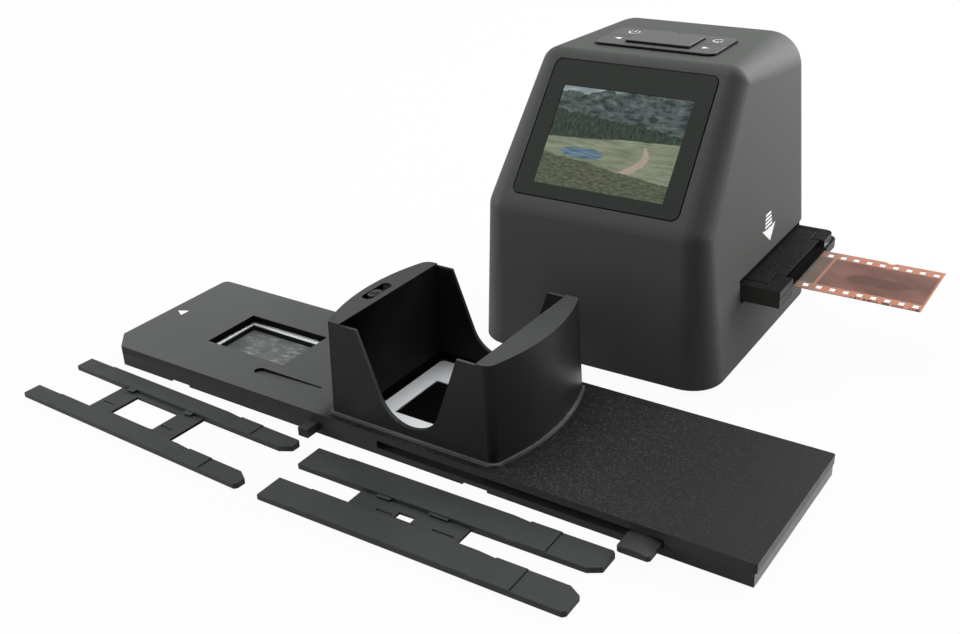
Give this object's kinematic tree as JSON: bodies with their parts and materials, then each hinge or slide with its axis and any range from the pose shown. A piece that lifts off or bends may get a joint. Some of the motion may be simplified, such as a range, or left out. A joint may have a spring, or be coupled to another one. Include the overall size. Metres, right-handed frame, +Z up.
{
  "type": "film and slide scanner set",
  "caption": "Desktop film and slide scanner with a tilted screen, a film strip holder in its side slot, a slide feed tray with magazine and pusher, and narrow-film adapters.",
  "frame": {"origin": "middle of the whole set's floor print, on the table top", "axes": "+Z up, -Y the side of the scanner's screen, +X to the right as seen from that side"},
  "size_m": [0.2662, 0.223, 0.1053],
  "materials": {
    "body_plastic": "fine moulded grain",
    "base_plastic": "fine moulded grain",
    "foot_rubber": "matt",
    "screw_steel": "zinc plated",
    "panel_gloss": "polished",
    "screen_glass": "lit picture",
    "display_metal": "satin",
    "ribbon_film": "satin",
    "key_plastic": "fine moulded grain",
    "scan_key_plastic": "satin",
    "dome_silicone": "matt",
    "circuit_board": "solder mask",
    "light_pipe": "milky",
    "gate_plastic": "matt black",
    "light_board": "white solder mask",
    "led_resin": "phosphor",
    "light_box_plastic": "matt white",
    "diffuser_plastic": "milky",
    "tower_plastic": "matt black",
    "barrel_plastic": "satin",
    "lens_glass": "coated",
    "sensor_chip": "glossy",
    "socket_metal": "bright tin",
    "holder_plastic": "satin black",
    "negative_film": "glossy, translucent",
    "tray_base_plastic": "satin black",
    "tray_cover_plastic": "fine moulded grain",
    "magazine_plastic": "satin black",
    "slider_plastic": "satin black",
    "slide_card": "matt white",
    "slide_emulsion": "glossy",
    "adapter_plastic": "satin"
  },
  "bodies": {
    "scanner_set": {"housing": "body_plastic", "base_plate": "base_plastic", "rubber_feet": "foot_rubber", "base_screws": "screw_steel", "screen_panel": "panel_gloss", "screen_pane": "screen_glass", "lcd_module": "display_metal", "screen_ribbon": "ribbon_film", "key_domes": "dome_silicone", "key_board": "circuit_board", "status_light": "light_pipe", "board_screws": "screw_steel", "film_gate": "gate_plastic", "backlight_board": "light_board", "backlight_leds": "led_resin", "light_box": "light_box_plastic", "diffuser": "diffuser_plastic", "lens_tower": "tower_plastic", "lens_barrel": "barrel_plastic", "lens_glass": "lens_glass", "image_sensor": "sensor_chip", "main_board": "circuit_board", "usb_socket": "socket_metal", "card_socket": "socket_metal", "tray_base": "tray_base_plastic", "tray_cover": "tray_cover_plastic", "tray_screws": "screw_steel", "magazine": "magazine_plastic", "wide_adapter": "adapter_plastic", "narrow_adapter": "adapter_plastic"},
    "power_key": {"power_key": "key_plastic"},
    "left_key": {"left_key": "key_plastic"},
    "right_key": {"right_key": "key_plastic"},
    "turn_key": {"turn_key": "key_plastic"},
    "scan_key": {"scan_key": "scan_key_plastic"},
    "holder": {"holder_base": "holder_plastic", "holder_lid": "holder_plastic"},
    "film": {"film_strip": "negative_film"},
    "pusher": {"slide_pusher": "slider_plastic"},
    "gate_slide": {"gate_slide_mount": "slide_card", "gate_slide_film": "slide_emulsion"},
    "stack_slide": {"stack_slide_mount": "slide_card", "stack_slide_film": "slide_emulsion"},
    "lock": {"lock_slider": "slider_plastic"}
  },
  "joints": [
    {"name": "power_key_press", "type": "slide", "parent": "scanner_set", "child": "power_key", "axis": [0, 0, -1], "range_m": [0, 0.0006], "stiffness_N_per_m": 1200},
    {"name": "left_key_press", "type": "slide", "parent": "scanner_set", "child": "left_key", "axis": [0, 0, -1], "range_m": [0, 0.0006], "stiffness_N_per_m": 1200},
    {"name": "right_key_press", "type": "slide", "parent": "scanner_set", "child": "right_key", "axis": [0, 0, -1], "range_m": [0, 0.0006], "stiffness_N_per_m": 1200},
    {"name": "turn_key_press", "type": "slide", "parent": "scanner_set", "child": "turn_key", "axis": [0, 0, -1], "range_m": [0, 0.0006], "stiffness_N_per_m": 1200},
    {"name": "scan_key_press", "type": "slide", "parent": "scanner_set", "child": "scan_key", "axis": [0, 0, -1], "range_m": [0, 0.0006], "stiffness_N_per_m": 1200},
    {"name": "holder_slide", "type": "slide", "parent": "scanner_set", "child": "holder", "axis": [1, 0, 0], "range_m": [-0.1, 0.1]},
    {"name": "film_slide", "type": "slide", "parent": "holder", "child": "film", "axis": [1, 0, 0], "range_m": [-0.076, 0.038]},
    {"name": "pusher_slide", "type": "slide", "parent": "scanner_set", "child": "pusher", "axis": [-0.9998, 0.0209, 0], "range_m": [0, 0.0869]},
    {"name": "stack_slide_feed", "type": "slide", "parent": "scanner_set", "child": "stack_slide", "axis": [-0.9998, 0.0209, 0], "range_m": [0, 0.0869]},
    {"name": "gate_slide_feed", "type": "slide", "parent": "scanner_set", "child": "gate_slide", "axis": [-0.9998, 0.0209, 0], "range_m": [0, 0.0503]},
    {"name": "lock_slide", "type": "slide", "parent": "scanner_set", "child": "lock", "axis": [0.0209, 0.9998, 0], "range_m": [-0.0023, 0.0049]}
  ],
  "couplings": [
    {"joint": "stack_slide_feed", "follows": "pusher_slide", "ratio": 1},
    {"joint": "gate_slide_feed", "follows": "pusher_slide", "ratio": 0.5788}
  ]
}
